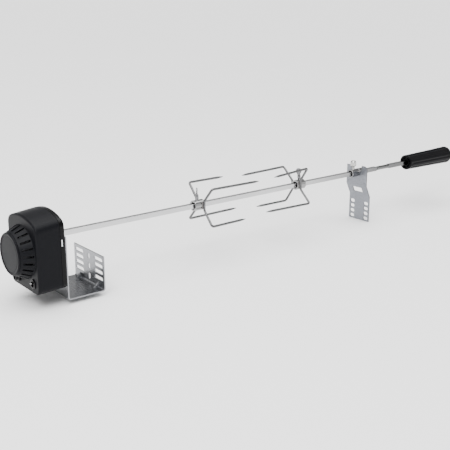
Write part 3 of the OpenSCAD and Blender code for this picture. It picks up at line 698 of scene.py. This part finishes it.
def bend(a, b, c, r, steps=9):
    """Arc of radius r that rounds the corner at b between a and c."""
    u, v = (a - b).normalized(), (c - b).normalized()
    half = math.acos(u.dot(v)) / 2
    o = b + (u + v).normalized() * r / math.sin(half)
    p, q = b + u * r / math.tan(half) - o, b + v * r / math.tan(half) - o
    w = p.angle(q)
    return [o + (p * math.sin(w * (1 - k / steps)) + q * math.sin(w * k / steps)) / math.sin(w)
            for k in range(steps + 1)]


def fork_wire(bm, short, tuck):
    """Bent wire with a long prong, a bow past the hub and a short prong, both ground to points."""
    tip_1 = Vector((WIRE_X + LONG, -SPREAD * 0.95, SPREAD * 0.95))
    top = Vector((WIRE_X, -SPREAD, SPREAD))
    bow_1 = Vector((WIRE_X, WIRE_Y, HUB_R - 1))
    bow_2 = Vector((WIRE_X, WIRE_Y, 1 - HUB_R))
    low = Vector((WIRE_X, -SPREAD, -SPREAD))
    tip_2 = Vector((WIRE_X + short, -SPREAD * 0.98, -SPREAD * 0.98 + tuck))

    def point(tip, corner):
        d = (corner - tip).normalized()
        return [tip + d * s for s, _ in GROUND], [r for _, r in GROUND]

    p1, r1 = point(tip_1, top)
    p2, r2 = point(tip_2, low)
    mid = (bend(tip_1, top, bow_1, 4) + bend(top, bow_1, bow_2, 6) + bend(bow_1, bow_2, low, 6)
           + bend(bow_2, low, tip_2, 4))
    sweep(bm, p1 + mid + p2[::-1], r1 + [WIRE_R] * len(mid) + r2[::-1])


def weld_beads(bm):
    """Rippled beads on both sides of each wire where it lies on the hub."""
    for s in (-1, 1):
        for off, phase in ((-1.75, 0.0), (1.75, 1.9)):
            path, radii = [], []
            for k in range(29):
                f = k / 28
                z = -BEAD_HALF + 2 * BEAD_HALF * f
                y = -math.sqrt(max(0, HUB_R ** 2 - z * z)) - 0.05
                y = min(y, WIRE_Y + 2.6)
                path.append(Vector((min(WIRE_X + off, HUB_L - 0.8), s * y, s * z)))
                swell = 0.35 + 0.85 * math.sin(math.pi * f) ** 0.35
                radii.append(swell * (1 + 0.16 * math.sin(17 * f * math.pi + phase)))
            sweep(bm, path, radii, sides=12)


def wing_screw(bm, heading, foot):
    """Threaded shank, round collar and a flat thumb wing with rounded edges."""
    collar = rounded([(11.4, 2.6), (11.4, 3.15), (14.5, 3.2), (18.2, 2.7), (19.4, 1.2),
                      (19.5, 0.3)], [0.25, 1.0, 0.6, 0.3], 3)
    shank = [(foot, 2.2)] + thread(foot + 0.5, 11.2, 0.9, 0.45, 2.5)
    rings = lathe(bm, shank + [tuple(p) for p in collar], n=40)
    bmesh.ops.transform(bm, matrix=Matrix.Rotation(-math.pi / 2, 4, "Y"),
                        verts=[v for ring in rings for v in ring])
    loop = [Vector((WING_R * math.cos(w), WING_Z + WING_R * math.sin(w)))
            for w in [math.radians(-52 + 284 * k / 30) for k in range(31)]]
    loop += [Vector(p) for p in mirrored(WING_NECK)]
    wing = loft(bm, [[Vector((p.x, y, p.y)) for p in offset_loop(loop, inset)]
                     for y, inset in mirrored(WING_EDGE)], start=True, end=True)
    bmesh.ops.transform(bm, matrix=Matrix.Rotation(math.radians(heading), 4, "Z"),
                        verts=[v for ring in wing for v in ring])


def place_fork(name):
    """Matrix from a fork's own frame to the spit's, and how far it is turned about the rod.

    The second fork faces back.
    """
    lo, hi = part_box(name + "_hub")
    if name == "fork_1":
        return Matrix.Translation((along(lo.x), 0, 0)), 0.0
    axis = joints["fork_2_screw_turn"]["axis"]
    roll = -math.atan2(axis[1], axis[2])
    turn = Matrix.Rotation(roll, 4, "X") @ Matrix.Rotation(math.pi, 4, "Z")
    return Matrix.Translation((along(hi.x), 0, 0)) @ turn, roll


def fork(name, heading):
    """One fork: two wires, the hub, the weld beads and the wing screw turned to heading."""
    place, roll = place_fork(name)
    plain, over = Matrix.Identity(4), Matrix.Rotation(math.pi, 4, "X")
    near, far = (plain, over) if name == "fork_1" else (over, plain)
    for part, m in ((name + "_near_prongs", near), (name + "_far_prongs", far)):
        bm = bmesh.new()
        bent = part == "fork_2_near_prongs"
        fork_wire(bm, SHORT + (BENT_LONGER if bent else 0), BENT_TUCK if bent else 0)
        add(part + "_look", bm, name, "prong_steel", (part,), local=place @ m,
            sharp=50)
    refine(name + "_hub", 0.7, segments=4, angle=40)
    bm = bmesh.new()
    weld_beads(bm)
    add(name + "_welds", bm, name, "weld_steel", (), local=place, sharp=70)
    bm = bmesh.new()
    # the screw stops short of the rod, whose flats are 4 mm from its axis
    foot = 4 / math.cos(roll) + SCREW_R * math.tan(abs(roll)) + SCREW_GAP
    wing_screw(bm, heading, foot)
    add(name + "_screw_look", bm, name + "_screw", "wing_steel", (name + "_screw",),
        local=place @ Matrix.Translation((SCREW_X, 0, 0)), sharp=45)


fork("fork_1", 53)
fork("fork_2", 134)

# ---------------------------------------------------------------- handle

grip_lo, grip_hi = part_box("handle_grip")
GRIP_X = along(grip_lo.x)
GRIP_L = (grip_hi.x - grip_lo.x) / MM
GRIP_R1, GRIP_R2 = 15.0, (grip_hi.z - grip_lo.z) / 2 / MM
AT_GRIP = Matrix.Translation((GRIP_X, 0, 0))
FLUTES, FLUTE_DEPTH, FLUTE_HALF = 10, 1.25, 2.75
RIBS, RIB_HALF = 5, 0.75


def grip_radius(x, r, a):
    """Radius with shallow flutes that run out near both ends."""
    outer = GRIP_R1 + (GRIP_R2 - GRIP_R1) * x / GRIP_L
    if r < outer - 2.6:
        return r
    step = TAU / FLUTES
    across = abs(((a - math.pi / 2) % step - step / 2) * outer)
    f = min(1, max(0, (x - 1.0) / 4.5)) * min(1, max(0, (GRIP_L - 4.5 - x) / 5.0))
    f = f * f * (3 - 2 * f)
    hollow = max(0.0, math.cos(min(1.0, across / FLUTE_HALF) * math.pi / 2)) ** 1.4
    return r - FLUTE_DEPTH * f * hollow


def handle_grip():
    """Fluted grip that widens toward its far end."""
    stations = rounded([(0.9, 11.0), (0.0, 11.6), (0.0, GRIP_R1), (GRIP_L, GRIP_R2),
                        (GRIP_L, 8.4)], [0.3, 1.5, 4.2], 7)
    outside = []
    for a, b in zip(stations, stations[1:]):
        n = 22 if (b - a).length > 40 else 1
        outside += [a + (b - a) * k / n for k in range(n)]
    outside.append(stations[-1])
    bm = bmesh.new()
    lathe(bm, [(4.0, 9.1), (4.0, 11.0)] + [tuple(p) for p in outside] + [(GRIP_L - 0.6, 8.3)],
          n=200, shape=grip_radius)
    return add("handle_grip_look", bm, "spit", "grip_plastic", ("handle_grip",),
               local=AT_GRIP, sharp=55)


def handle_ribs():
    """Moulded ribs and a ring in the hollow at the grip's rod end."""
    bm = bmesh.new()
    section = [Vector((x, 0, r)) for x, r in ((1.1, 5.6), (0.75, 11.2), (4.2, 11.2), (4.2, 5.6))]
    for k in range(RIBS):
        vs = loft(bm, [[p + Vector((0, y, 0)) for p in section] for y in (-RIB_HALF, RIB_HALF)],
                  start=True, end=True)
        bmesh.ops.transform(bm, matrix=Matrix.Rotation(TAU * (k + 0.25) / RIBS, 4, "X"),
                            verts=[v for ring in vs for v in ring])
    lathe(bm, rounded([(4.2, 7.4), (1.0, 7.2), (0.7, 6.9), (0.7, 5.9), (1.2, 5.75), (4.2, 5.75)],
                      0.25, 3), n=48)
    round_off(bm, edges_over(bm, 60), 0.18, 2)
    return add("handle_end_ribs", bm, "spit", "grip_plastic", (), local=AT_GRIP,
               sharp=45)


def handle_cap():
    """Stepped collar and domed nub at the handle's end."""
    bm = bmesh.new()
    lo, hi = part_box("handle_cap")
    inner, end = along(lo.x), along(hi.x)
    nub = (hi.z - lo.z) / 2 / MM
    base = GRIP_X + GRIP_L
    points = [(inner, 4.2), (inner, 4.85), (base - 0.2, 4.85), (base - 0.2, nub - 0.1),
              (base + 1.9, nub - 0.05), (base + 2.3, nub - 0.7), (base + 3.0, nub - 0.7),
              (base + 3.4, nub - 0.1), (base + 9.4, nub - 0.1), (base + 12.6, nub - 1.0),
              (base + 14.9, nub - 3.6), (end, 2.2), (end, 0.3)]
    lathe(bm, rounded(points, [0.2, 0.2, 0.2, 0.3, 0.2, 0.2, 0.3, 2.0, 2.0, 2.0, 1.0], 4), n=72)
    return add("handle_cap_look", bm, "spit", "grip_plastic", ("handle_cap",),
               sharp=55)


handle_grip()
handle_ribs()
refine("handle_ferrule", 0.3)
handle_cap()

# ---------------------------------------------------------------- stage

bm = bmesh.new()
bmesh.ops.create_grid(bm, x_segments=2, y_segments=2, size=40.0)
me = bpy.data.meshes.new("floor")
bm.to_mesh(me)
bm.free()
me.materials.append(material("pale_floor", (0.86, 0.86, 0.86), 0.0, 0.75, 0.03, 0.008, 4.0,
                             bump=0.0, blotch=1.5))
floor = bpy.data.objects.new("floor", me)
floor.location = (0, 0, cad_lo.z - 0.0004)
bpy.context.scene.collection.objects.link(floor)

# brightness of the room from the horizon and below (0) to straight up (1)
SKY = ((0.0, 1.0), (0.08, 0.88), (0.22, 0.33), (0.55, 0.22), (1.0, 0.65))
world = bpy.data.worlds.new("studio")
bpy.context.scene.world = world
world.use_nodes = True
tree = world.node_tree
sky = tree.nodes["Background"]
where = tree.nodes.new("ShaderNodeTexCoord")
split = tree.nodes.new("ShaderNodeSeparateXYZ")
tone = tree.nodes.new("ShaderNodeValToRGB")
tree.links.new(where.outputs["Generated"], split.inputs["Vector"])
tree.links.new(split.outputs["Z"], tone.inputs["Fac"])
tree.links.new(tone.outputs["Color"], sky.inputs["Color"])
ramp = tone.color_ramp
# the stops are added first and set after, because adding one renumbers the others
for at, _ in SKY[1:-1]:
    ramp.elements.new(at)
for stop, (at, grey) in zip(ramp.elements, SKY):
    stop.position = at
    stop.color = (grey, grey, grey, 1)
sky.inputs["Strength"].default_value = 1.75


def light(name, place, aim, size, power):
    """Soft rectangular light at a place, turned toward an aim."""
    data = bpy.data.lights.new(name, "AREA")
    data.shape = "RECTANGLE"
    data.size, data.size_y = size
    data.energy = power
    o = bpy.data.objects.new(name, data)
    o.location = place
    o.rotation_euler = (Vector(aim) - Vector(place)).to_track_quat("-Z", "Y").to_euler()
    bpy.context.scene.collection.objects.link(o)


mid = (cad_lo + cad_hi) / 2
light("key", (mid.x - 1.7, mid.y - 1.3, mid.z + 1.9), mid, (1.3, 1.3), 60)
light("fill", (mid.x + 1.8, mid.y - 1.8, mid.z + 1.1), mid, (1.8, 1.2), 8)
# a broad overhead light that reaches the whole floor evenly
overhead = bpy.data.lights.new("overhead", "SUN")
overhead.energy = 5.4
overhead.angle = math.radians(75)
lamp = bpy.data.objects.new("overhead", overhead)
lamp.location = mid + Vector((0, 0, 3))
bpy.context.scene.collection.objects.link(lamp)

# the photo's viewpoint and lens, fitted to the object's known points
EYE = (-0.59687, -1.08372, 0.42657)
GAZE = (0.59726, 0.74912, -0.28652)
camera = bpy.data.cameras.new("camera")
camera.sensor_width = 36.0
camera.lens = 66.77
camera.clip_start = 0.01
camera.clip_end = 200.0
eye = bpy.data.objects.new("camera", camera)
eye.location = EYE
eye.rotation_euler = Vector(GAZE).to_track_quat("-Z", "Y").to_euler()
bpy.context.scene.collection.objects.link(eye)
bpy.context.scene.camera = eye
